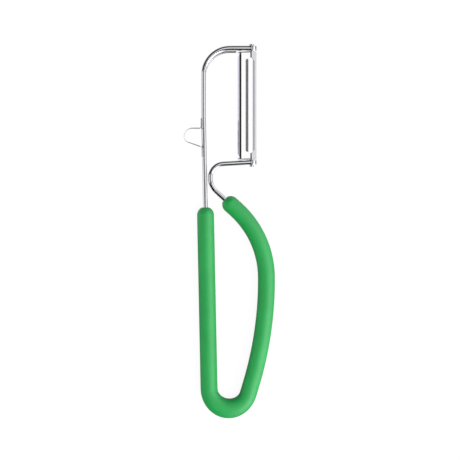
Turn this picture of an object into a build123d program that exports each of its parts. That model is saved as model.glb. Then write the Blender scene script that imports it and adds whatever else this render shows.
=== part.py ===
from build123d import *
import math
import os

# Vegetable peeler with a wire frame, lying flat on a table
# X runs across the tool, Y along it from the loop to the head, and Z up
# Lengths are millimetres and angles are degrees
# The origin is under the middle of the whole tool, on the table
# The route of the wire is measured from the centre of the loop's bottom bend

# Frame wire: bottom bend, spine and head
wire_diameter = 2.5
bend_radius = 10.0
spine_lean = 1.16
kink_drop = 34.1
kink_radius = 300.0
corner_radius = 13.2
arm_run = 10.9
arm_gap = 54.5

# Frame wire: bow and throat
bow_lean = 16.6
bow_reach = 18.7
shoulder_height = 75.7
throat_rise = 25.2
throat_depth = 12.0
throat_gap = 0.25
arm_lean = 3.2
belly_low_share = 0.83
belly_arc_share = 0.55
bow_straight_share = 0.02
throat_low_arc_share = 0.36
throat_high_arc_share = 0.58

# Rib pressed on the inner side of the corner and the upper arm
rib_width = 1.15
rib_thickness = 1.3
rib_depth_share = 0.9
rib_end_share = 0.25

# Eyes headed on the ends of the wire, hung under the wire so that their tops run on from it
eye_radius = 2.7
eye_edge_radius = 0.5
eye_rise = 0.03

# Grip: a dipped coat on the loop
grip_radius = 4.25
grip_leg_rise = 10.8
grip_bow_run = 3.45
drip_outer = 0.85
drip_inner = 0.6
drip_stations = 8

# Eye remover: a strip looped out from the spine
strip_thickness = 0.5
strip_width = 4.0
strip_weld_depth = 0.3
strip_reach = 22.45
strip_drop = 35.0
strip_top_foot = 5.0
strip_mouth = 9.4
strip_base_foot = 4.9
strip_apex_drop = 6.3
strip_foot_radius = 0.8
strip_top_arc_share = 0.66
strip_base_arc_share = 0.33
strip_bevel = 1.0
strip_land = 0.15

# Blade: tongues and necks, measured from the axis on which it swivels
tongue_radius = 1.25
tongue_running_gap = 0.08
tongue_protrusion = 0.95
tongue_lip = 0.3
blade_thickness = 0.5
blade_end_play = 0.2
swing_gap = 0.4
neck_side_reach = 0.75
neck_side_drop = 0.5
neck_ridge_reach = 0.6
neck_ridge_height = 2.2
neck_ridge_radius = 0.7

# Blade: cutting limb
face_height = 1.1
face_reach = 1.65
edge_reach = 3.05
fold_reach = 1.55
flank_reach = 2.45
flank_drop = 1.75
fold_radius = 1.5
neck_length = 3.15
shoulder_reach = 0.25
edge_setback = 1.0
fold_setback = 2.7

# Blade: guard limb and end bridges
guard_near_reach = 5.17
guard_near_drop = 0.9
guard_fold_reach = 6.25
guard_fold_drop = 1.08
guard_far_reach = 7.02
guard_far_drop = 1.8
guard_fold_radius = 0.7
guard_foot_length = 0.9
guard_taper_length = 2.0
guard_taper_width = 1.1
bridge_depth = 1.5
bridge_bend_share = 0.8

# Overrun of every cut past the faces that it goes through
cut_overrun = 2.0

# Sizes that follow from the ones above
wire_radius = wire_diameter / 2
throat_low_y = shoulder_height + throat_rise
lower_arm_height = throat_low_y + throat_depth
head_height = lower_arm_height + wire_diameter + arm_gap
grip_low_point = bend_radius + grip_radius + drip_outer
head_top = head_height + wire_radius + tongue_protrusion
left_side = strip_reach + strip_thickness / 2
right_side = bow_reach + grip_radius
eye_drop = eye_radius - wire_radius - eye_rise
rest_height = max(grip_radius, eye_drop + max(eye_radius, guard_far_drop + blade_thickness))
lay = Plane(
    origin=(
        (left_side - right_side) / 2,
        (grip_low_point - head_top) / 2,
        rest_height,
    )
)


def arc_radius(before, corner, after, tangent):
    """Radius of the arc whose ends lie at the tangent length from the corner of two runs."""
    turn = (corner - before).get_angle(after - corner)
    return tangent / math.tan(math.radians(turn / 2))


def laid(*points):
    """Points of the route, placed in the model."""
    return [lay.from_local_coords(point) for point in points]


def across(distance):
    """Plane square to the blade's axis, at a distance from its middle towards the head."""
    middle = lay.from_local_coords(axis_middle)
    return Plane(origin=middle + Vector(0, distance), x_dir=(1, 0, 0), z_dir=(0, -1, 0))


def spine_side(height):
    """Centre of the leaning part of the spine at a height above the bottom bend."""
    run = (height - bend_start.Y) / spine_heading.Y
    return bend_start + spine_heading * run


# Route of the spine, the top corner and the upper arm
spine_heading = Vector(0, 1).rotate(Axis.Z, spine_lean)
bend_start = Vector(-bend_radius, 0).rotate(Axis.Z, spine_lean)
kink = spine_side(head_height - kink_drop)
top_corner = Vector(kink.X, head_height)
axis_x = kink.X + corner_radius + arm_run
upper_tip = Vector(axis_x, head_height)

# Route of the bow, the throat and the lower arm
bow_heading = Vector(0, 1).rotate(Axis.Z, -bow_lean)
bend_end = Vector(bend_radius, 0).rotate(Axis.Z, -bow_lean)
belly = bend_end + bow_heading * ((bow_reach - bend_end.X) / bow_heading.X)
shoulder = Vector(bow_reach, shoulder_height)
lower_tip = Vector(axis_x, lower_arm_height)
throat_x = spine_side(throat_low_y).X + wire_diameter + throat_gap
throat_low = Vector(throat_x, throat_low_y)
arm_drop = (axis_x - throat_x) * math.tan(math.radians(arm_lean))
throat_high = Vector(throat_x, lower_tip.Y - arm_drop)

# Axis on which the blade swivels, between the two arms and below them
axis_middle = (upper_tip + lower_tip) / 2 - Vector(0, 0, eye_drop)
tongue_end = arm_gap / 2 + wire_diameter + tongue_protrusion

# Radii of the arcs of the bow and the throat
bow_run = (belly - bend_end).length
belly_run = shoulder.Y - belly.Y
throat_run = throat_high.Y - throat_low.Y
belly_tangent = min(bow_run * belly_low_share, belly_run * belly_arc_share)
shoulder_tangent = belly_run * (1 - belly_arc_share - bow_straight_share)
belly_radius = arc_radius(bend_end, belly, shoulder, belly_tangent)
shoulder_radius = arc_radius(belly, shoulder, throat_low, shoulder_tangent)
throat_low_radius = arc_radius(shoulder, throat_low, throat_high, throat_run * throat_low_arc_share)
throat_high_radius = arc_radius(throat_low, throat_high, lower_tip, throat_run * throat_high_arc_share)
bend_sweep = 180 - spine_lean - bow_lean

# Route of the rib: the corner's own arc, moved inwards so that it runs out into the spine
rib_depth = wire_diameter * rib_depth_share
rib_offset = wire_radius + rib_width - rib_depth / 2
rib_corner = top_corner + Vector(corner_radius, -corner_radius - rib_offset)
rib_end_x = axis_x - math.hypot(guard_far_reach, guard_far_drop) - swing_gap
rib_end = Vector(rib_end_x, head_height - rib_offset)

# Eye remover
with BuildPart() as eye_remover:
    strip_offset = wire_radius + strip_thickness / 2 - strip_weld_depth
    strip_top = head_height - strip_drop
    strip_loop_top = strip_top - strip_top_foot
    strip_loop_base = strip_loop_top - strip_mouth
    strip_bottom = strip_loop_base - strip_base_foot
    loop_top_point = Vector(-strip_reach, strip_loop_top)
    loop_base_point = Vector(-strip_reach, strip_loop_top - strip_apex_drop)
    top_foot_end = Vector(kink.X - strip_offset, strip_top)
    top_foot_bend = Vector(kink.X - strip_offset, strip_loop_top)
    base_foot_bend = spine_side(strip_loop_base) - Vector(strip_offset, 0)
    base_foot_end = spine_side(strip_bottom) - Vector(strip_offset, 0)
    loop_top_radius = arc_radius(
        top_foot_bend,
        loop_top_point,
        loop_base_point,
        strip_apex_drop * strip_top_arc_share,
    )
    loop_base_radius = arc_radius(
        loop_top_point,
        loop_base_point,
        base_foot_bend,
        strip_apex_drop * strip_base_arc_share,
    )
    with BuildLine(lay) as strip_route:
        FilletPolyline(
            laid(
                top_foot_end,
                top_foot_bend,
                loop_top_point,
                loop_base_point,
                base_foot_bend,
                base_foot_end,
            ),
            radius=[strip_foot_radius, loop_top_radius, loop_base_radius, strip_foot_radius],
        )
    strip_start = Plane(
        origin=strip_route.line @ 0,
        x_dir=(1, 0, 0),
        z_dir=strip_route.line % 0,
    )
    with BuildSketch(strip_start):
        with BuildLine():
            Polyline(
                (-strip_thickness / 2, -strip_width / 2 + strip_bevel),
                (strip_thickness / 2 - strip_land, -strip_width / 2),
                (strip_thickness / 2, -strip_width / 2),
                (strip_thickness / 2, strip_width / 2),
                (strip_thickness / 2 - strip_land, strip_width / 2),
                (-strip_thickness / 2, strip_width / 2 - strip_bevel),
                close=True,
            )
        make_face()
    sweep(path=strip_route.line)

# Frame wire
with BuildPart() as frame_wire:
    with BuildLine(lay) as wire_route:
        FilletPolyline(
            laid(upper_tip, top_corner, kink, bend_start),
            radius=[corner_radius, kink_radius],
        )
        CenterArc((0, 0), bend_radius, 180 + spine_lean, bend_sweep)
        FilletPolyline(
            laid(bend_end, belly, shoulder, throat_low, throat_high, lower_tip),
            radius=[belly_radius, shoulder_radius, throat_low_radius, throat_high_radius],
        )
    with BuildSketch(Plane(origin=wire_route.line @ 0, z_dir=wire_route.line % 0)):
        Circle(wire_radius)
    sweep(path=wire_route.line)

    # Rib on the inner side of the corner and the upper arm
    with BuildPart(mode=Mode.PRIVATE) as rib:
        with BuildLine(lay) as rib_route:
            Line(*laid(rib_end, Vector(rib_corner.X, rib_end.Y)))
            CenterArc(lay.from_local_coords(rib_corner), corner_radius, 90, 90)
        with BuildSketch(Plane(origin=rib_route.line @ 0, x_dir=(0, 1, 0), z_dir=rib_route.line % 0)):
            SlotOverall(rib_depth, rib_thickness)
        sweep(path=rib_route.line)
        rib_end_face = rib.faces().sort_by(Axis.X)[-1]
        fillet(rib_end_face.edges(), rib_thickness * rib_end_share)
    add(rib.part)

    # Eyes: discs hung under the ends of both arms, bored for the tongues
    for tip in (upper_tip, lower_tip):
        with BuildPart(mode=Mode.PRIVATE) as eye:
            with BuildSketch(across(tip.Y - axis_middle.Y)):
                Circle(eye_radius)
            extrude(amount=wire_radius, both=True)
            fillet(eye.edges().filter_by(GeomType.CIRCLE), eye_edge_radius)
        add(eye.part)
    with BuildSketch(across(0)):
        Circle(tongue_radius + tongue_running_gap)
    extrude(amount=tongue_end + cut_overrun, both=True, mode=Mode.SUBTRACT)

    # Seats that the welds press into the spine under the strip's feet
    add(eye_remover.part, mode=Mode.SUBTRACT)

# Grip
with BuildPart() as grip:
    leg_top = spine_side(shoulder_height + grip_leg_rise)
    bow_end_run = shoulder_tangent + grip_bow_run
    bow_end = shoulder + (throat_low - shoulder).normalized() * bow_end_run
    with BuildLine(lay) as grip_leg:
        Line(*laid(leg_top, bend_start))
    with BuildSketch(Plane(origin=grip_leg.line @ 0, z_dir=grip_leg.line % 0)):
        Circle(grip_radius)
    sweep(path=grip_leg.line)
    with BuildLine(lay) as grip_bow:
        FilletPolyline(laid(bend_end, belly, shoulder, bow_end), radius=[belly_radius, shoulder_radius])
    with BuildSketch(Plane(origin=grip_bow.line @ 0, z_dir=grip_bow.line % 0)):
        Circle(grip_radius)
    sweep(path=grip_bow.line)

    # Bottom bend, thicker on both sides where the dip drained
    with BuildLine(lay) as grip_bend:
        CenterArc((0, 0), bend_radius, 180 + spine_lean, bend_sweep)
    for station in range(drip_stations + 1):
        share = station / drip_stations
        drip = math.sin(math.pi * share) ** 2
        centre = grip_bend.line @ share
        outward = centre - lay.origin
        with BuildSketch(Plane(origin=centre, x_dir=outward, z_dir=grip_bend.line % share)):
            with Locations((drip * (drip_outer - drip_inner) / 2, 0)):
                Ellipse(grip_radius + drip * (drip_outer + drip_inner) / 2, grip_radius)
    sweep(path=grip_bend.line, multisection=True)

    # Domed ends
    with Locations(lay.from_local_coords(leg_top), lay.from_local_coords(bow_end)):
        Sphere(grip_radius)

    # Bore that the wire fills
    add(frame_wire.part, mode=Mode.SUBTRACT)

# Blade
bridge_outer = arm_gap / 2 - blade_end_play
bridge_inner = bridge_outer - blade_thickness
shoulder_end = bridge_outer - neck_length
fold_end = shoulder_end - fold_setback
neck_side = Vector(-neck_side_reach, -neck_side_drop)
neck_ridge = Vector(-neck_ridge_reach, neck_ridge_height)
neck_foot = Vector(flank_reach, -flank_drop)
with BuildPart() as blade:
    # Cutting limb: ground face, polished face, fold and back flank
    face_under = face_height - blade_thickness
    flank_run = Vector(flank_reach - fold_reach, -flank_drop - face_height)
    flank_inset = blade_thickness * flank_run.length / -flank_run.Y
    fold_inset = blade_thickness * (flank_run.length - flank_run.X) / -flank_run.Y
    with BuildSketch(across(0)) as limb_section:
        with BuildLine():
            Polyline(
                (-edge_reach, face_under),
                (-face_reach, face_height),
                (fold_reach, face_height),
                (flank_reach, -flank_drop),
                (flank_reach - flank_inset, -flank_drop),
                (fold_reach - fold_inset, face_under),
                close=True,
            )
        make_face()
        outer_fold = limb_section.vertices().sort_by_distance((fold_reach, face_height))[0]
        inner_fold = limb_section.vertices().sort_by_distance((fold_reach - fold_inset, face_under))[0]
        fillet(outer_fold, fold_radius)
        fillet(inner_fold, fold_radius - blade_thickness)
    extrude(amount=shoulder_end, both=True)

    # Shoulders that narrow both ends of the cutting limb to the necks
    edge_corner = Vector(-edge_reach, shoulder_end - edge_setback)
    shoulder_corner = Vector(-shoulder_reach, shoulder_end)
    fold_corner = Vector(flank_reach, fold_end)
    edge_beyond = edge_corner + (edge_corner - shoulder_corner)
    fold_beyond = fold_corner + (fold_corner - shoulder_corner)
    with BuildSketch(Plane(origin=lay.from_local_coords(axis_middle))):
        for side in (1, -1):
            with BuildLine():
                Polyline(
                    (edge_beyond.X, side * edge_beyond.Y),
                    (shoulder_corner.X, side * shoulder_corner.Y),
                    (fold_beyond.X, side * fold_beyond.Y),
                    (fold_beyond.X, side * (shoulder_end + cut_overrun)),
                    (edge_beyond.X, side * (shoulder_end + cut_overrun)),
                    close=True,
                )
            make_face()
    extrude(amount=flank_drop + cut_overrun, both=True, mode=Mode.SUBTRACT)

    # Guard limb, folded down along its outer side and rounded over at both ends
    guard_near = Vector(-guard_near_reach, -guard_near_drop)
    guard_fold = Vector(-guard_fold_reach, -guard_fold_drop)
    guard_far = Vector(-guard_far_reach, -guard_far_drop)
    with BuildPart(mode=Mode.PRIVATE) as guard:
        with BuildSketch(across(0)):
            with BuildLine():
                FilletPolyline(guard_near, guard_fold, guard_far, radius=guard_fold_radius)
                offset(amount=blade_thickness, side=Side.LEFT)
            make_face()
        extrude(amount=bridge_outer, both=True)
        for end in guard.faces().filter_by(Axis.Y):
            above_fold = Vector(guard_far.X, 0, 0) + lay.from_local_coords(axis_middle)
            above_fold.Y = end.center().Y
            outer_edges = end.edges().sort_by_distance(above_fold)[:3]
            fillet(outer_edges, blade_thickness * bridge_bend_share)
    add(guard.part)

    for side in (1, -1):
        # Neck: folded over a rounded ridge between the shoulder and the bridge
        with BuildSketch(across(side * fold_end)):
            with BuildLine():
                FilletPolyline(neck_side, neck_ridge, neck_foot, radius=neck_ridge_radius)
                offset(amount=blade_thickness, side=Side.RIGHT)
            make_face()
        extrude(amount=side * (fold_end - bridge_inner))

        # Bridge from the neck to the guard limb
        with BuildSketch(across(side * bridge_inner)):
            with BuildLine():
                FilletPolyline(neck_side, neck_ridge, neck_foot, radius=neck_ridge_radius)
                Line(neck_foot, neck_side)
            make_face()
            with BuildLine():
                Polyline(
                    (0, face_under),
                    guard_near - Vector(0, blade_thickness),
                    guard_far + Vector(blade_thickness, 0),
                    guard_near + Vector(blade_thickness, -bridge_depth),
                    (0, -flank_drop),
                    neck_foot,
                    close=True,
                )
            make_face()
        extrude(amount=-side * blade_thickness)

        # Tongue, rolled to a half round that swivels in the arm's eye
        with BuildSketch(across(side * bridge_inner)):
            Circle(tongue_radius)
            Circle(tongue_radius - blade_thickness, mode=Mode.SUBTRACT)
            with Locations((0, -tongue_lip)):
                Rectangle(
                    2 * tongue_radius,
                    tongue_radius,
                    align=(Align.CENTER, Align.MAX),
                    mode=Mode.SUBTRACT,
                )
        extrude(amount=side * (bridge_inner - tongue_end))

    # Relief tapers in the guard limb beside the bends
    relief_start = bridge_outer - guard_foot_length
    relief_end = relief_start - guard_taper_length
    with BuildSketch(Plane(origin=lay.from_local_coords(axis_middle))):
        for side in (1, -1):
            with BuildLine():
                Polyline(
                    (guard_far.X - cut_overrun, side * relief_start),
                    (guard_far.X + guard_taper_width, side * relief_start),
                    (guard_far.X, side * relief_end),
                    (guard_far.X - cut_overrun, side * relief_end),
                    close=True,
                )
            make_face()
    extrude(amount=guard_far_drop + cut_overrun, both=True, mode=Mode.SUBTRACT)

blade.part.label = "blade"
eye_remover.part.label = "eye_remover"
frame_wire.part.label = "frame_wire"
grip.part.label = "grip"

os.makedirs("parts", exist_ok=True)
for piece in (frame_wire, grip, eye_remover, blade):
    export_step(piece.part, f"parts/{piece.part.label}.step")
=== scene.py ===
import math

import bpy
from mathutils import Matrix, Vector


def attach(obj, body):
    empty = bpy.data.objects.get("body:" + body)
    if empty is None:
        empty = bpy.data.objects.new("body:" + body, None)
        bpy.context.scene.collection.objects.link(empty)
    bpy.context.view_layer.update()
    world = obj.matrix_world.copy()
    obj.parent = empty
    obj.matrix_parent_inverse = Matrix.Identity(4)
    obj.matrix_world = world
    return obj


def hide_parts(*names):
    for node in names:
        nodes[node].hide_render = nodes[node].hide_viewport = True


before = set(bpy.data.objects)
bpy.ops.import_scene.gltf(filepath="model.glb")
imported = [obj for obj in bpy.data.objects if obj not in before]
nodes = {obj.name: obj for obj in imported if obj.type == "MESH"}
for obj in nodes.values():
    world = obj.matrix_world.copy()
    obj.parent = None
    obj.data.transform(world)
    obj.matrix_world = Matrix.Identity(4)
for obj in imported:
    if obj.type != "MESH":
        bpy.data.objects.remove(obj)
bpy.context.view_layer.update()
bpy.ops.object.select_all(action="DESELECT")


# ---------------------------------------------------------------- sizes

# Millimetres are turned to Blender's metres by this, and degrees by math.radians
MM = 0.001

# Route of the wire inside the grip, as it is in the part, in millimetres and degrees
LAY = Vector((-0.125, -78.5, 4.25))
BEND_RADIUS = 10.0
SPINE_LEAN = 1.16
BOW_LEAN = 16.6
BOW_REACH = 18.7
SHOULDER_HEIGHT = 75.7
THROAT_RISE = 25.2
THROAT_OFFSET = 2.75
BELLY_LOW_SHARE = 0.83
BELLY_ARC_SHARE = 0.55
SHOULDER_ARC_SHARE = 0.43
WIRE_RADIUS = 1.25

# Dipped coat, a micrometre inside the part's grip, so that rounding leaves it in the part's box
GRIP_RADIUS = 4.249
GRIP_LEG_RISE = 10.8
GRIP_BOW_RUN = 3.45
DRIP_OUTER = 0.85
DRIP_INNER = 0.6
COAT_RIM_RADIUS = 1.9
COAT_RIM_DIP = 0.25

# Rings of the coat's mesh, in which points nearer to each other than COAT_MERGE are one
COAT_SIDES = 64
COAT_RING_GAP = 3.0
COAT_LEAST_RINGS = 4
COAT_DOME_RINGS = 9
COAT_MERGE = 0.01
COAT_SMOOTH_ANGLE = 40

# Inner side of the wire at the head's corner, where the rib is pressed
CORNER_CENTRE = (0.324, 78.2)
CORNER_INNER_RADIUS = 11.93
RIB_LOW_Y = 76.4

# Apex and feet of the looped strip, and the middle between its legs
STRIP_APEX_X = -22.0
STRIP_FOOT_X = -14.3
STRIP_MIDDLE_Y = 47.5

# Axis on which the blade swivels, seen from above, how far its cutting limb reaches to the left
# of that, and the reach of the limb's fold and necks from the blade's middle
BLADE_X = 11.224
BLADE_Y = 62.9
LIMB_REACH = 4.0
FOLD_HALF_LENGTH = 24.0
NECK_MIDDLE = 25.1
NECK_HALF_LENGTH = 1.9

# What tells the faces of the strip and the blade apart: the part of a face's normal that points
# up, and to the right
STRIP_EDGE_UP = 0.15
BEVEL_RIGHT = -0.25
LIMB_TOP_UP = 0.7
FOLD_RIGHT = 0.5
FOLD_RIGHT_RANGE = 0.22

# Sizes of the patterns in the finishes, in millimetres. The scratches that tumbling and rolling
# leave are 0.05 mm apart, and are drawn coarser so that their haze shows
PVC_CLOUD = 11.1
PVC_PEEL = 1.11
PVC_BUMP = 0.05
WIRE_SCRATCH = 0.667
SHEET_SCRATCH = 0.833
GRINDING_MARK_WIDTH = 0.625
GRINDING_MARK_LENGTH = 4.0

# Roughness of the pressed rib, the strip's ground edges and the blade's ground bevel
RIB_ROUGHNESS = 0.36
STRIP_EDGE_ROUGHNESS = 0.16
BEVEL_ROUGHNESS = 0.36

# Painted dark reflection on the strip's edges, from its apex to its feet, darker on the upper leg
LOWER_LEG_PAINTED_SHADES = (
    (0.0, "#D6D6DA"), (0.14, "#AAAAAE"), (0.4, "#84848A"), (0.95, "#6C6C72"), (0.985, "#C0C0C4"),
)
UPPER_LEG_PAINTED_SHADES = (
    (0.0, "#D6D6DA"), (0.2, "#BCBCC0"), (0.42, "#626268"), (0.7, "#2E2E32"), (0.95, "#2E2E32"),
    (0.985, "#909096"),
)

# Camera, in millimetres
CAMERA_SPOT = (0.35, 0.55, 1000.0)
CAMERA_SENSOR = 36.0
CAMERA_LENS = 155.9


# ---------------------------------------------------------------- tools

def linear(code):
    """Linear colour of an sRGB hex value."""
    shades = [int(code[i:i + 2], 16) / 255 for i in (1, 3, 5)]
    shades = [s / 12.92 if s <= 0.04045 else ((s + 0.055) / 1.055) ** 2.4 for s in shades]
    return (*shades, 1.0)


def add_node(tree, kind, settings=None, links=None, stops=()):
    """Add a node with the values of its sockets and properties, the links into it, and its colour
    stops, each a share of the way along and a colour."""
    node = tree.nodes.new(kind)
    for key, value in (settings or {}).items():
        if isinstance(key, str) and hasattr(node, key):
            setattr(node, key, value)
    for key, value in (settings or {}).items():
        if isinstance(key, int) or not hasattr(node, key):
            node.inputs[key].default_value = value
    for key, source in (links or {}).items():
        tree.links.new(source, node.inputs[key])
    for _ in stops[2:]:
        node.color_ramp.elements.new(0.5)
    for index, (share, colour) in enumerate(stops):
        node.color_ramp.elements[index].position = share
        node.color_ramp.elements[index].color = colour
    return node


def add_profile(tree, source, reach, stops, unit=1.0):
    """Level along a value, from stops within a reach to either side of zero, both in the unit."""
    share = add_node(
        tree,
        "ShaderNodeMapRange",
        {"From Min": -reach * unit, "From Max": reach * unit},
        {"Value": source},
    )
    ramp = add_node(
        tree,
        "ShaderNodeValToRGB",
        None,
        {"Fac": share.outputs["Result"]},
        [((at / reach + 1) / 2, (level, level, level, 1)) for at, level in stops],
    )
    return ramp.outputs["Color"]


def new_material(name):
    """A material with an empty tree, its principled shader and its output."""
    material = bpy.data.materials.new(name)
    material.use_nodes = True
    tree = material.node_tree
    tree.nodes.clear()
    shader = add_node(tree, "ShaderNodeBsdfPrincipled")
    add_node(tree, "ShaderNodeOutputMaterial", None, {"Surface": shader.outputs["BSDF"]})
    return material, tree, shader


def bright_steel(name, scratch, polished, hazy):
    """Bright stainless steel whose fine scratches, of a size in millimetres, haze its polish."""
    material, tree, shader = new_material(name)
    coords = add_node(tree, "ShaderNodeTexCoord")
    scratches = add_node(
        tree,
        "ShaderNodeTexNoise",
        {"Scale": 1 / (scratch * MM), "Detail": 4.0, "Roughness": 0.6},
        {"Vector": coords.outputs["Object"]},
    )
    polish = add_node(
        tree,
        "ShaderNodeMapRange",
        {"To Min": polished, "To Max": hazy},
        {"Value": scratches.outputs["Fac"]},
    )
    shader.inputs["Metallic"].default_value = 1.0
    return material, tree, shader, coords, scratches, polish


def dress(piece, material):
    """Give a piece one material through its material slots."""
    piece.data.materials.clear()
    piece.data.materials.append(material)


# ---------------------------------------------------------------- route of the coat

def turned(point, angle):
    """A flat vector turned about Z, in degrees."""
    return Matrix.Rotation(math.radians(angle), 3, "Z") @ Vector(point)


def rounded(before, corner, after, tangent):
    """Start, centre and turn, in radians, of the arc that rounds a corner of the route."""
    into = (corner - before).normalized()
    away = (after - corner).normalized()
    turn = math.atan2(into.cross(away).z, into.dot(away))
    start = corner - into * tangent
    sideways = turned(into, math.copysign(90, turn))
    return start, start + sideways * tangent / math.tan(abs(turn) / 2), turn


spine_heading = turned((0, 1, 0), SPINE_LEAN)
bow_heading = turned((0, 1, 0), -BOW_LEAN)
bend_sweep = math.radians(180 - SPINE_LEAN - BOW_LEAN)
bend_start = turned((-BEND_RADIUS, 0, 0), SPINE_LEAN)
bend_end = turned((BEND_RADIUS, 0, 0), -BOW_LEAN)
leg_top = bend_start + spine_heading * (
    (SHOULDER_HEIGHT + GRIP_LEG_RISE - bend_start.y) / spine_heading.y
)
belly = bend_end + bow_heading * ((BOW_REACH - bend_end.x) / bow_heading.x)
shoulder = Vector((BOW_REACH, SHOULDER_HEIGHT, 0))
throat_y = SHOULDER_HEIGHT + THROAT_RISE
throat_x = (bend_start + spine_heading * ((throat_y - bend_start.y) / spine_heading.y)).x
throat_low = Vector((throat_x + THROAT_OFFSET, throat_y, 0))
belly_run = shoulder.y - belly.y
belly_tangent = min((belly - bend_end).length * BELLY_LOW_SHARE, belly_run * BELLY_ARC_SHARE)
shoulder_tangent = belly_run * SHOULDER_ARC_SHARE
throat_heading = (throat_low - shoulder).normalized()
bow_end = shoulder + throat_heading * (shoulder_tangent + GRIP_BOW_RUN)


# ---------------------------------------------------------------- grip

def place(point):
    """A point of the route, in Blender's metres."""
    return (point + LAY) * MM


def run_straight(start, end):
    """Extrude the selected ring along a straight run, in rings of even length."""
    rings = max(1, round((end - start).length / COAT_RING_GAP))
    for _ in range(rings):
        bpy.ops.mesh.extrude_region_move(
            TRANSFORM_OT_translate={"value": (end - start) * MM / rings}
        )


def run_round(centre, start, turn):
    """Spin the selected ring round a bend of the route, in twice the rings where it is tight."""
    radius = (start - centre).length
    rings = max(COAT_LEAST_RINGS, round(radius * abs(turn) / COAT_RING_GAP))
    if radius < 2 * BEND_RADIUS:
        rings *= 2
    bpy.ops.mesh.spin(
        steps=rings,
        angle=-turn,
        center=place(centre),
        axis=(0, 0, 1),
    )


def dome(tip, heading):
    """Extrude the selected ring to the coat's domed end, with a small flat rim round the wire."""
    last_angle = 0.0
    rim_angle = math.acos(COAT_RIM_RADIUS / GRIP_RADIUS)
    for ring in range(1, COAT_DOME_RINGS + 1):
        angle = rim_angle * ring / COAT_DOME_RINGS
        rise = GRIP_RADIUS * (math.sin(angle) - math.sin(last_angle))
        shrink = math.cos(angle) / math.cos(last_angle)
        bpy.ops.mesh.extrude_region_move(TRANSFORM_OT_translate={"value": heading * rise * MM})
        bpy.ops.transform.resize(
            value=(shrink, shrink, shrink),
            center_override=place(tip + heading * GRIP_RADIUS * math.sin(angle)),
        )
        last_angle = angle
    rim = tip + heading * GRIP_RADIUS * math.sin(rim_angle)
    shrink = WIRE_RADIUS / COAT_RIM_RADIUS
    bpy.ops.mesh.extrude_region_move(
        TRANSFORM_OT_translate={"value": -heading * COAT_RIM_DIP * MM}
    )
    bpy.ops.transform.resize(
        value=(shrink, shrink, shrink),
        center_override=place(rim - heading * COAT_RIM_DIP),
    )
    bpy.ops.mesh.edge_face_add()


bpy.ops.mesh.primitive_circle_add(
    vertices=COAT_SIDES,
    radius=GRIP_RADIUS * MM,
    location=place(leg_top),
    rotation=(math.pi / 2, 0, math.radians(SPINE_LEAN)),
)
coat = bpy.context.object
coat.name = "dipped_coat"
bpy.ops.object.transform_apply(location=True, rotation=True, scale=True)
bpy.ops.object.mode_set(mode="EDIT")
bpy.ops.mesh.select_all(action="SELECT")

run_straight(leg_top, bend_start)
run_round(Vector((0, 0, 0)), bend_start, bend_sweep)
belly_start, belly_centre, belly_turn = rounded(bend_end, belly, shoulder, belly_tangent)
run_straight(bend_end, belly_start)
run_round(belly_centre, belly_start, belly_turn)
shoulder_start, shoulder_centre, shoulder_turn = rounded(
    belly, shoulder, throat_low, shoulder_tangent
)
run_straight(belly + Vector((0, belly_tangent, 0)), shoulder_start)
run_round(shoulder_centre, shoulder_start, shoulder_turn)
run_straight(shoulder + throat_heading * shoulder_tangent, bow_end)
dome(bow_end, throat_heading)

# The other end starts again from the first ring
bpy.ops.mesh.select_all(action="DESELECT")
bpy.ops.object.mode_set(mode="OBJECT")
for vertex in coat.data.vertices:
    along = (vertex.co / MM - LAY - leg_top).dot(spine_heading)
    vertex.select = abs(along) < COAT_MERGE
bpy.ops.object.mode_set(mode="EDIT")
bpy.ops.mesh.select_mode(type="EDGE")
bpy.ops.mesh.select_mode(type="VERT")
dome(leg_top, spine_heading)
bpy.ops.mesh.select_all(action="SELECT")
bpy.ops.mesh.remove_doubles(threshold=COAT_MERGE * MM)
bpy.ops.mesh.normals_make_consistent(inside=False)
bpy.ops.object.mode_set(mode="OBJECT")

# The coat is thicker on both sides of the bottom bend, where the dip drained
for name, swell, side in (("drained_outside", DRIP_OUTER, 1), ("drained_inside", DRIP_INNER, -1)):
    group = coat.vertex_groups.new(name=name)
    for vertex in coat.data.vertices:
        spot = vertex.co / MM - LAY
        flat = Vector((spot.x, spot.y, 0))
        turn = math.atan2(spot.y, spot.x) - math.radians(SPINE_LEAN) - math.pi
        share = (turn % (2 * math.pi)) / bend_sweep
        lean = (flat.length - BEND_RADIUS) / GRIP_RADIUS
        if flat.length < 2 * BEND_RADIUS and 0 < share < 1 and lean * side > 0:
            weight = math.sin(math.pi * share) ** 2 * min(1, lean * lean)
            group.add([vertex.index], weight, "REPLACE")
    drain = coat.modifiers.new(name, "DISPLACE")
    drain.strength = swell * MM
    drain.mid_level = 0
    drain.vertex_group = name
    bpy.ops.object.modifier_apply(modifier=name)
bpy.ops.object.shade_smooth_by_angle(angle=math.radians(COAT_SMOOTH_ANGLE))


# ---------------------------------------------------------------- materials

# Dipped soft PVC: satin green, cured with a faint orange peel that softens every highlight
pvc, tree, shader = new_material("dipped_soft_pvc")
coords = add_node(tree, "ShaderNodeTexCoord")
clouds = add_node(
    tree,
    "ShaderNodeTexNoise",
    {"Scale": 1 / (PVC_CLOUD * MM), "Detail": 3.0, "Roughness": 0.55},
    {"Vector": coords.outputs["Object"]},
)
tint = add_node(
    tree,
    "ShaderNodeValToRGB",
    None,
    {"Fac": clouds.outputs["Fac"]},
    ((0.3, linear("#0B9843")), (0.7, linear("#0FA148"))),
)
peel = add_node(
    tree,
    "ShaderNodeTexNoise",
    {"Scale": 1 / (PVC_PEEL * MM), "Detail": 2.0, "Roughness": 0.5},
    {"Vector": coords.outputs["Object"]},
)
satin = add_node(
    tree,
    "ShaderNodeMapRange",
    {"To Min": 0.54, "To Max": 0.62},
    {"Value": peel.outputs["Fac"]},
)
bumps = add_node(
    tree,
    "ShaderNodeBump",
    {"Strength": 0.12, "Distance": PVC_BUMP * MM},
    {"Height": peel.outputs["Fac"]},
)
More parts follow.
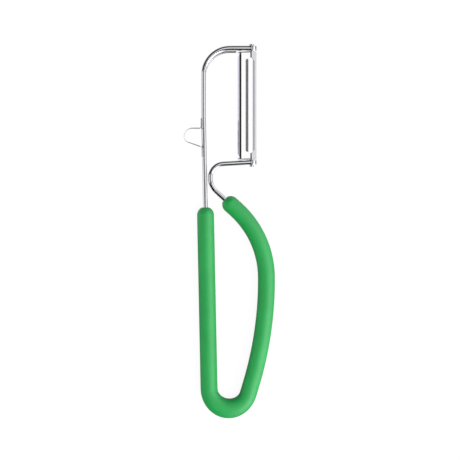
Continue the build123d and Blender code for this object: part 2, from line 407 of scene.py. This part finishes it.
tree.links.new(tint.outputs["Color"], shader.inputs["Base Color"])
tree.links.new(satin.outputs["Result"], shader.inputs["Roughness"])
tree.links.new(bumps.outputs["Normal"], shader.inputs["Normal"])
shader.inputs["IOR"].default_value = 1.54
shader.inputs["Specular IOR Level"].default_value = 0.9

# Drawn stainless wire, tumbled bright: a clear reflection with the faintest haze of scratches
wire_steel, tree, shader, coords, scratches, polish = bright_steel(
    "bright_drawn_stainless_wire", WIRE_SCRATCH, 0.06, 0.16
)
tone = add_node(
    tree,
    "ShaderNodeValToRGB",
    None,
    {"Fac": scratches.outputs["Fac"]},
    ((0.0, linear("#C4C4C8")), (1.0, linear("#D0D0D3"))),
)
# The pressed rib is rougher, and its grey is painted shade standing in for a darker reflection;
# it lies inside the wire's own curve
spot = add_node(tree, "ShaderNodeSeparateXYZ", None, {"Vector": coords.outputs["Object"]})
beside = add_node(
    tree,
    "ShaderNodeMath",
    {"operation": "SUBTRACT", 1: CORNER_CENTRE[0] * MM},
    {0: spot.outputs["X"]},
)
beside = add_node(
    tree,
    "ShaderNodeMath",
    {"operation": "MINIMUM", 1: 0.0},
    {0: beside.outputs["Value"]},
)
above = add_node(
    tree,
    "ShaderNodeMath",
    {"operation": "SUBTRACT", 1: CORNER_CENTRE[1] * MM},
    {0: spot.outputs["Y"]},
)
flat = add_node(
    tree,
    "ShaderNodeCombineXYZ",
    None,
    {"X": beside.outputs["Value"], "Y": above.outputs["Value"]},
)
reach = add_node(
    tree,
    "ShaderNodeVectorMath",
    {"operation": "LENGTH"},
    {0: flat.outputs["Vector"]},
)
inside = add_node(
    tree,
    "ShaderNodeMath",
    {"operation": "LESS_THAN", 1: CORNER_INNER_RADIUS * MM},
    {0: reach.outputs["Value"]},
)
at_head = add_node(
    tree,
    "ShaderNodeMath",
    {"operation": "GREATER_THAN", 1: RIB_LOW_Y * MM},
    {0: spot.outputs["Y"]},
)
rib = add_node(
    tree,
    "ShaderNodeMath",
    {"operation": "MULTIPLY"},
    {0: inside.outputs["Value"], 1: at_head.outputs["Value"]},
)
tone = add_node(
    tree,
    "ShaderNodeMix",
    {"data_type": "RGBA", 7: linear("#B2B2B4")},
    {0: rib.outputs["Value"], 6: tone.outputs["Color"]},
)
polish = add_node(
    tree,
    "ShaderNodeMix",
    {"data_type": "FLOAT", 3: RIB_ROUGHNESS},
    {0: rib.outputs["Value"], 2: polish.outputs["Result"]},
)
tree.links.new(tone.outputs[2], shader.inputs["Base Color"])
tree.links.new(polish.outputs[0], shader.inputs["Roughness"])

# Rolled stainless strip: bright on both faces, with a soft reflection
strip_steel, tree, shader, coords, _, polish = bright_steel(
    "bright_rolled_stainless_strip", SHEET_SCRATCH, 0.12, 0.24
)
# Both edges of the strip are ground, and turn up or down where its faces stand upright
slope = add_node(tree, "ShaderNodeSeparateXYZ", None, {"Vector": coords.outputs["Normal"]})
tilt = add_node(tree, "ShaderNodeMath", {"operation": "ABSOLUTE"}, {0: slope.outputs["Z"]})
edge = add_node(
    tree,
    "ShaderNodeMath",
    {"operation": "GREATER_THAN", 1: STRIP_EDGE_UP},
    {0: tilt.outputs["Value"]},
)
# Painted dark reflection: the edges of both legs are drawn darker towards the feet, and the upper
# leg's more
spot = add_node(tree, "ShaderNodeSeparateXYZ", None, {"Vector": coords.outputs["Object"]})
toward_feet = add_node(
    tree,
    "ShaderNodeMapRange",
    {"From Min": STRIP_APEX_X * MM, "From Max": STRIP_FOOT_X * MM},
    {"Value": spot.outputs["X"]},
)
tints = []
for shades in (LOWER_LEG_PAINTED_SHADES, UPPER_LEG_PAINTED_SHADES):
    tint = add_node(
        tree,
        "ShaderNodeValToRGB",
        None,
        {"Fac": toward_feet.outputs["Result"]},
        [(share, linear(code)) for share, code in shades],
    )
    tints.append(tint.outputs["Color"])
on_upper_leg = add_node(
    tree,
    "ShaderNodeMath",
    {"operation": "GREATER_THAN", 1: STRIP_MIDDLE_Y * MM},
    {0: spot.outputs["Y"]},
)
ground = add_node(
    tree,
    "ShaderNodeMix",
    {"data_type": "RGBA"},
    {0: on_upper_leg.outputs["Value"], 6: tints[0], 7: tints[1]},
)
shade = add_node(
    tree,
    "ShaderNodeMix",
    {"data_type": "RGBA", 6: linear("#CACACE")},
    {0: edge.outputs["Value"], 7: ground.outputs[2]},
)
rough = add_node(
    tree,
    "ShaderNodeMix",
    {"data_type": "FLOAT", 3: STRIP_EDGE_ROUGHNESS},
    {0: edge.outputs["Value"], 2: polish.outputs["Result"]},
)
tree.links.new(shade.outputs[2], shader.inputs["Base Color"])
tree.links.new(rough.outputs[0], shader.inputs["Roughness"])

# Blade sheet, hardened and polished: mirror bright, but for its bevel, its fold and its necks
blade_steel, tree, shader, coords, _, polish = bright_steel(
    "polished_blade_stainless", SHEET_SCRATCH, 0.08, 0.16
)
spot = add_node(tree, "ShaderNodeSeparateXYZ", None, {"Vector": coords.outputs["Object"]})
slope = add_node(tree, "ShaderNodeSeparateXYZ", None, {"Vector": coords.outputs["Normal"]})
on_limb = add_node(
    tree,
    "ShaderNodeMath",
    {"operation": "GREATER_THAN", 1: (BLADE_X - LIMB_REACH) * MM},
    {0: spot.outputs["X"]},
)
facing_up = add_node(
    tree,
    "ShaderNodeMath",
    {"operation": "GREATER_THAN", 1: LIMB_TOP_UP},
    {0: slope.outputs["Z"]},
)
sloped = add_node(
    tree,
    "ShaderNodeMath",
    {"operation": "LESS_THAN", 1: BEVEL_RIGHT},
    {0: slope.outputs["X"]},
)
turning = add_node(
    tree,
    "ShaderNodeMath",
    {"operation": "COMPARE", 1: FOLD_RIGHT, 2: FOLD_RIGHT_RANGE},
    {0: slope.outputs["X"]},
)
along = add_node(
    tree,
    "ShaderNodeMath",
    {"operation": "SUBTRACT", 1: BLADE_Y * MM},
    {0: spot.outputs["Y"]},
)
from_middle = add_node(
    tree,
    "ShaderNodeMath",
    {"operation": "ABSOLUTE"},
    {0: along.outputs["Value"]},
)
between_necks = add_node(
    tree,
    "ShaderNodeMath",
    {"operation": "LESS_THAN", 1: FOLD_HALF_LENGTH * MM},
    {0: from_middle.outputs["Value"]},
)
at_neck = add_node(
    tree,
    "ShaderNodeMath",
    {"operation": "COMPARE", 1: NECK_MIDDLE * MM, 2: NECK_HALF_LENGTH * MM},
    {0: from_middle.outputs["Value"]},
)
faces = []
for mask, *others in (
    # The bevel slopes towards the guard, on the side of the cutting limb
    (on_limb, sloped, facing_up),
    # The limb's fold turns away from it
    (on_limb, turning, between_necks, facing_up),
    # Both necks' left-sloping sides, which are drawn darker
    (on_limb, sloped, at_neck),
):
    for other in others:
        mask = add_node(
            tree,
            "ShaderNodeMath",
            {"operation": "MULTIPLY"},
            {0: mask.outputs["Value"], 1: other.outputs["Value"]},
        )
    faces.append(mask)
bevel, fold, dark_neck_sides = faces
# A 180 grit wheel leaves marks 0.1 mm apart across the bevel, drawn at 0.6 mm so that they show
wheel = add_node(
    tree,
    "ShaderNodeMapping",
    {
        "Scale": (
            1 / (GRINDING_MARK_LENGTH * MM),
            1 / (GRINDING_MARK_WIDTH * MM),
            1 / (GRINDING_MARK_LENGTH * MM),
        )
    },
    {"Vector": coords.outputs["Object"]},
)
marks = add_node(
    tree,
    "ShaderNodeTexNoise",
    {"Scale": 1.0, "Detail": 2.0, "Roughness": 0.6},
    {"Vector": wheel.outputs["Vector"]},
)
ground = add_node(
    tree,
    "ShaderNodeValToRGB",
    None,
    {"Fac": marks.outputs["Fac"]},
    ((0.3, linear("#ACACB2")), (0.7, linear("#C8C8CC"))),
)
shade = add_node(
    tree,
    "ShaderNodeMix",
    {"data_type": "RGBA", 6: linear("#D2D2D6")},
    {0: bevel.outputs["Value"], 7: ground.outputs["Color"]},
)
rough = add_node(
    tree,
    "ShaderNodeMix",
    {"data_type": "FLOAT", 3: BEVEL_ROUGHNESS},
    {0: bevel.outputs["Value"], 2: polish.outputs["Result"]},
)
# Painted dark reflection along the outside of the fold, and the necks' left sides are drawn
# darker
for mask, code in ((fold, "#A2A2A6"), (dark_neck_sides, "#6E6E74")):
    shade = add_node(
        tree,
        "ShaderNodeMix",
        {"data_type": "RGBA", 7: linear(code)},
        {0: mask.outputs["Value"], 6: shade.outputs[2]},
    )
tree.links.new(shade.outputs[2], shader.inputs["Base Color"])
tree.links.new(rough.outputs[0], shader.inputs["Roughness"])

dress(nodes["frame_wire"], wire_steel)
dress(nodes["eye_remover"], strip_steel)
dress(nodes["blade"], blade_steel)
dress(coat, pvc)

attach(coat, "frame")
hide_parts("grip")


# ---------------------------------------------------------------- studio

# Size of the table in metres, and how brightly the camera and the metal see its paper
TABLE_SIZE = 3.0
TABLE_GLOW = 0.93

# Mirrored in the metal, the table's glow is dimmed as painted shade beside the grip, which shades
# it, past the head, and inside the head's frame: levels at places along and across the table, in
# millimetres
TABLE_REACH = 150
TABLE_ALONG = ((-5, 0.35), (10, 1.0), (93, 1.0), (98, 0.4))
FRAME_ACROSS = ((-14, 0.0), (-12, 1.0), (4, 1.0), (6, 0.0))
FRAME_ALONG = ((38, 0.0), (42, 1.0), (82, 1.0), (86, 0.0))
FRAME_LEVEL = 0.78

# Matt paper on a table: it keeps the object's shadow, and the camera and the metal see it white
bpy.ops.mesh.primitive_plane_add(size=TABLE_SIZE, location=(0, 0, 0))
table = bpy.context.object
table.name = "table"
table_paper, tree, shader = new_material("pale_table_paper")
shader.inputs["Base Color"].default_value = linear("#565656")
shader.inputs["Roughness"].default_value = 0.9
ray = add_node(tree, "ShaderNodeLightPath")
coords = add_node(tree, "ShaderNodeTexCoord")
spot = add_node(tree, "ShaderNodeSeparateXYZ", None, {"Vector": coords.outputs["Object"]})
mirrored = add_node(
    tree,
    "ShaderNodeMath",
    {"operation": "MULTIPLY"},
    {
        0: ray.outputs["Is Glossy Ray"],
        1: add_profile(tree, spot.outputs["Y"], TABLE_REACH, TABLE_ALONG, MM),
    },
)
in_frame = add_node(
    tree,
    "ShaderNodeMath",
    {"operation": "MULTIPLY"},
    {
        0: add_profile(tree, spot.outputs["X"], TABLE_REACH, FRAME_ACROSS, MM),
        1: add_profile(tree, spot.outputs["Y"], TABLE_REACH, FRAME_ALONG, MM),
    },
)
dimmed = add_node(
    tree,
    "ShaderNodeMapRange",
    {"To Min": 1.0, "To Max": FRAME_LEVEL},
    {"Value": in_frame.outputs["Value"]},
)
seen = add_node(
    tree,
    "ShaderNodeMath",
    {"operation": "MULTIPLY"},
    {0: mirrored.outputs["Value"], 1: dimmed.outputs["Result"]},
)
for kind in ("Is Camera Ray", "Is Transmission Ray"):
    seen = add_node(
        tree,
        "ShaderNodeMath",
        {"operation": "MAXIMUM"},
        {0: seen.outputs["Value"], 1: ray.outputs[kind]},
    )
glow = add_node(
    tree,
    "ShaderNodeMath",
    {"operation": "MULTIPLY", 1: TABLE_GLOW},
    {0: seen.outputs["Value"]},
)
shader.inputs["Emission Color"].default_value = linear("#FFFFFF")
tree.links.new(glow.outputs["Value"], shader.inputs["Emission Strength"])
dress(table, table_paper)

# Soft boxes and dark screens of the studio round the table. Each glow is a profile sideways times
# one lengthways: its levels at angles from overhead, in degrees
SKY_REACH = 120
SPINE_GLOW = (
    # A strip of light along the spine, with a dark screen to the left of overhead
    (
        (-110, 1.2), (-70, 1.3), (-63, 1.7), (-47, 1.7), (-41, 0.03),
        (-3.5, 0.03), (-2.5, 1.9), (2.5, 1.9), (3.5, 0.4), (38, 0.5),
        (43, 2.1), (70, 2.1), (76, 0.1), (104, 0.2), (110, 0.6),
    ),
    ((-12, 0.0), (-9, 1.0), (9, 1.0), (12, 0.0)),
)
ARM_GLOW = (
    # A strip of light across it, along the arms
    (
        (-110, 0.25), (-60, 0.2), (-45, 0.06), (-16, 0.06), (-12, 1.7),
        (12, 1.7), (16, 0.3),
    ),
    (
        (-80, 0.03), (-12, 0.05), (-9, 0.0), (9, 0.0), (12, 0.5),
        (36, 0.45), (42, 0.05), (80, 0.04),
    ),
)
RIGHT_GLOW = (
    # The large soft box to the right, which reaches further to the front than to the back
    ((26, 0.0), (36, 3.6), (110, 3.6)),
    (
        (-75, 0.0), (-62, 1.0), (-16, 1.0), (-12, 0.0), (12, 0.0),
        (16, 0.45), (45, 0.45), (55, 0.0),
    ),
)

# Heights between which the walls turn from grey to white, as the upward part of a direction
GREY_WALL_TOP = 0.15
WHITE_WALL_FOOT = 0.5

world = bpy.data.worlds.new("studio")
bpy.context.scene.world = world
world.use_nodes = True
tree = world.node_tree
tree.nodes.clear()
coords = add_node(tree, "ShaderNodeTexCoord")
way = add_node(tree, "ShaderNodeSeparateXYZ", None, {"Vector": coords.outputs["Generated"]})
sideways = add_node(
    tree,
    "ShaderNodeMath",
    {"operation": "ARCTAN2"},
    {0: way.outputs["X"], 1: way.outputs["Z"]},
)
lengthways = add_node(
    tree,
    "ShaderNodeMath",
    {"operation": "ARCSINE"},
    {0: way.outputs["Y"]},
)
sideways, lengthways = [
    add_node(tree, "ShaderNodeMath", {"operation": "DEGREES"}, {0: angle.outputs["Value"]})
    for angle in (sideways, lengthways)
]
level = None
for across_stops, along_stops in (SPINE_GLOW, ARM_GLOW, RIGHT_GLOW):
    links = {
        0: add_profile(tree, sideways.outputs["Value"], SKY_REACH, across_stops),
        1: add_profile(tree, lengthways.outputs["Value"], SKY_REACH, along_stops),
    }
    if level:
        links[2] = level.outputs["Value"]
    level = add_node(tree, "ShaderNodeMath", {"operation": "MULTIPLY_ADD", 2: 0.0}, links)
# The walls near the level of the table are a cool grey
low = add_node(
    tree,
    "ShaderNodeMapRange",
    {"From Min": GREY_WALL_TOP, "From Max": WHITE_WALL_FOOT, "To Min": 1.0, "To Max": 0.0},
    {"Value": way.outputs["Z"]},
)
wall = add_node(
    tree,
    "ShaderNodeMix",
    {"data_type": "RGBA", 6: linear("#FFFFFF"), 7: linear("#EAEAF8")},
    {0: low.outputs["Result"]},
)
level = add_node(
    tree,
    "ShaderNodeVectorMath",
    {"operation": "MULTIPLY"},
    {0: level.outputs["Value"], 1: wall.outputs[2]},
)
# The camera sees it white
ray = add_node(tree, "ShaderNodeLightPath")
sky = add_node(
    tree,
    "ShaderNodeMix",
    {"data_type": "RGBA", 7: linear("#FFFFFF")},
    {0: ray.outputs["Is Camera Ray"], 6: level.outputs["Vector"]},
)
back = add_node(tree, "ShaderNodeBackground", {"Strength": 1.0}, {"Color": sky.outputs[2]})
add_node(tree, "ShaderNodeOutputWorld", None, {"Surface": back.outputs["Background"]})

# Lamps for the shadow and the coat, with their places and sizes in metres and powers in watts.
# They are left out of reflections, where the studio round the table stands for them
for name, spot, width, height, power in (
    ("soft_box_right", (0.8, -0.1, 0.6), 0.6, 0.9, 2.4),
    ("soft_box_high", (0.1, -0.45, 0.9), 0.8, 0.5, 4.2),
    ("low_box_left", (-0.9, -0.1, 0.12), 0.9, 0.2, 3.6),
):
    bpy.ops.object.light_add(type="AREA", location=spot)
    lamp = bpy.context.object
    lamp.name = name
    lamp.data.shape = "RECTANGLE"
    lamp.data.size = width
    lamp.data.size_y = height
    lamp.data.energy = power
    lamp.visible_glossy = False
    lamp.rotation_euler = (-lamp.location).to_track_quat("-Z", "Y").to_euler()

# Camera straight above the table
bpy.ops.object.camera_add(location=Vector(CAMERA_SPOT) * MM, rotation=(0, 0, 0))
camera = bpy.context.object
camera.data.sensor_width = CAMERA_SENSOR
camera.data.lens = CAMERA_LENS
camera.data.clip_end = 10.0
bpy.context.scene.camera = camera
bpy.context.scene.view_settings.view_transform = "Standard"
